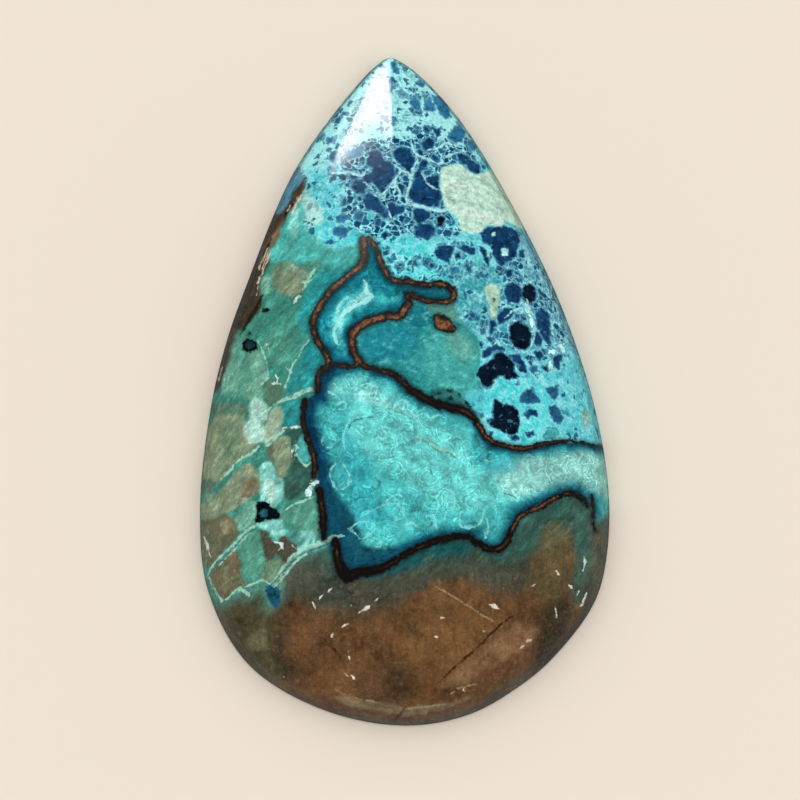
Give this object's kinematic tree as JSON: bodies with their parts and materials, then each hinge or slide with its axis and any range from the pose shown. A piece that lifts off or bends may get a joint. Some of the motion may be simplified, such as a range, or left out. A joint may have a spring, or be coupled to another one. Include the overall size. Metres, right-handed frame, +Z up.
{
  "type": "shattuckite cabochon",
  "caption": "Teardrop cabochon polished from shattuckite and chrysocolla in quartz, with a domed face and a flat back to set or rest it on.",
  "frame": {"origin": "on the surface the stone lies on, under the middle of its bounding box", "axes": "+Z up through the dome, +Y towards the tip, +X to the right with the tip pointing away"},
  "size_m": [0.0254, 0.0424, 0.007],
  "materials": {
    "polished_shattuckite": "polished, glossy on the dome and satin on the back"
  },
  "bodies": {
    "root": {"shattuckite_cabochon": "polished_shattuckite"}
  },
  "joints": []
}
